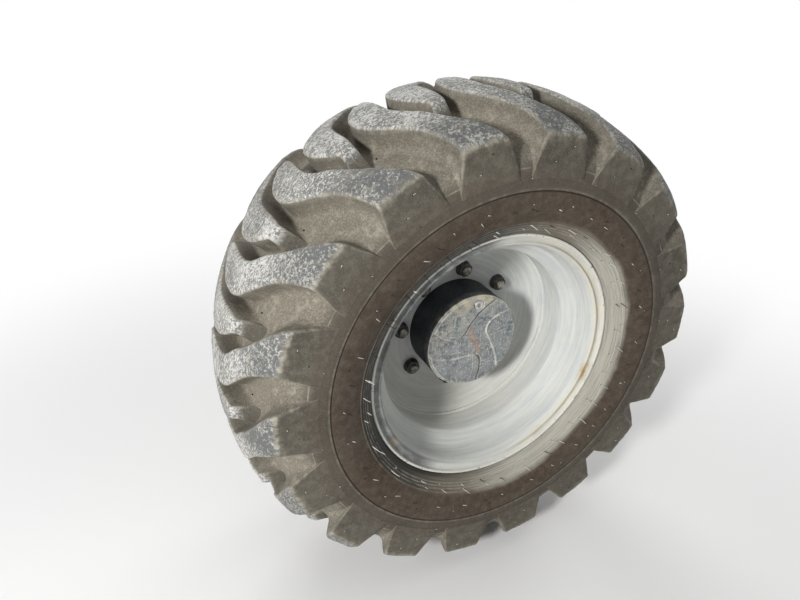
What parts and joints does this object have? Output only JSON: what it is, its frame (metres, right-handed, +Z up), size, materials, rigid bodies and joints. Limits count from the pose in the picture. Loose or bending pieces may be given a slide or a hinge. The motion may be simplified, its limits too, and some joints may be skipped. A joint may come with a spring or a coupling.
{
  "type": "dumper wheel with lugged tyre on its axle end",
  "caption": "Wide lugged off-road tyre on a dished steel disc wheel, bolted to a drum hub that turns on a flanged stub axle.",
  "frame": {"origin": "centre of the axle flange's bolting face, on the wheel's axis", "axes": "the wheel turns about Y and lies towards -Y, so its outer face looks along -Y; +Z up"},
  "size_m": [1.075, 0.421, 1.075],
  "materials": {
    "tyre_rubber": "dusty black rubber, worn grey on the lugs",
    "rim_paint": "silver-grey paint, dusty and stained with rust",
    "hub_paint": "dark blue-grey paint, dusty and scratched",
    "plug_steel": "bare steel, dulled",
    "fastener_steel": "zinc-plated steel, dirty",
    "valve_rubber": "black rubber and plastic",
    "axle_steel": "turned steel, oiled",
    "axle_iron": "dark painted cast iron"
  },
  "bodies": {
    "axle_end": {"axle_flange": "axle_iron", "spindle": "axle_steel", "seal_ring": "axle_steel"},
    "wheel": {"tyre": "tyre_rubber", "rim_barrel": "rim_paint", "wheel_disc": "rim_paint", "hub_body": "hub_paint", "end_cover": "hub_paint", "cover_plug": "plug_steel", "wheel_studs": "fastener_steel", "wheel_nuts": "fastener_steel", "valve_stem": "valve_rubber", "valve_cap": "valve_rubber"}
  },
  "joints": [
    {"name": "wheel_spin", "type": "hinge", "parent": "axle_end", "child": "wheel", "pos_m": [0, -0.14, 0], "axis": [0, -1, 0], "continuous": true}
  ]
}
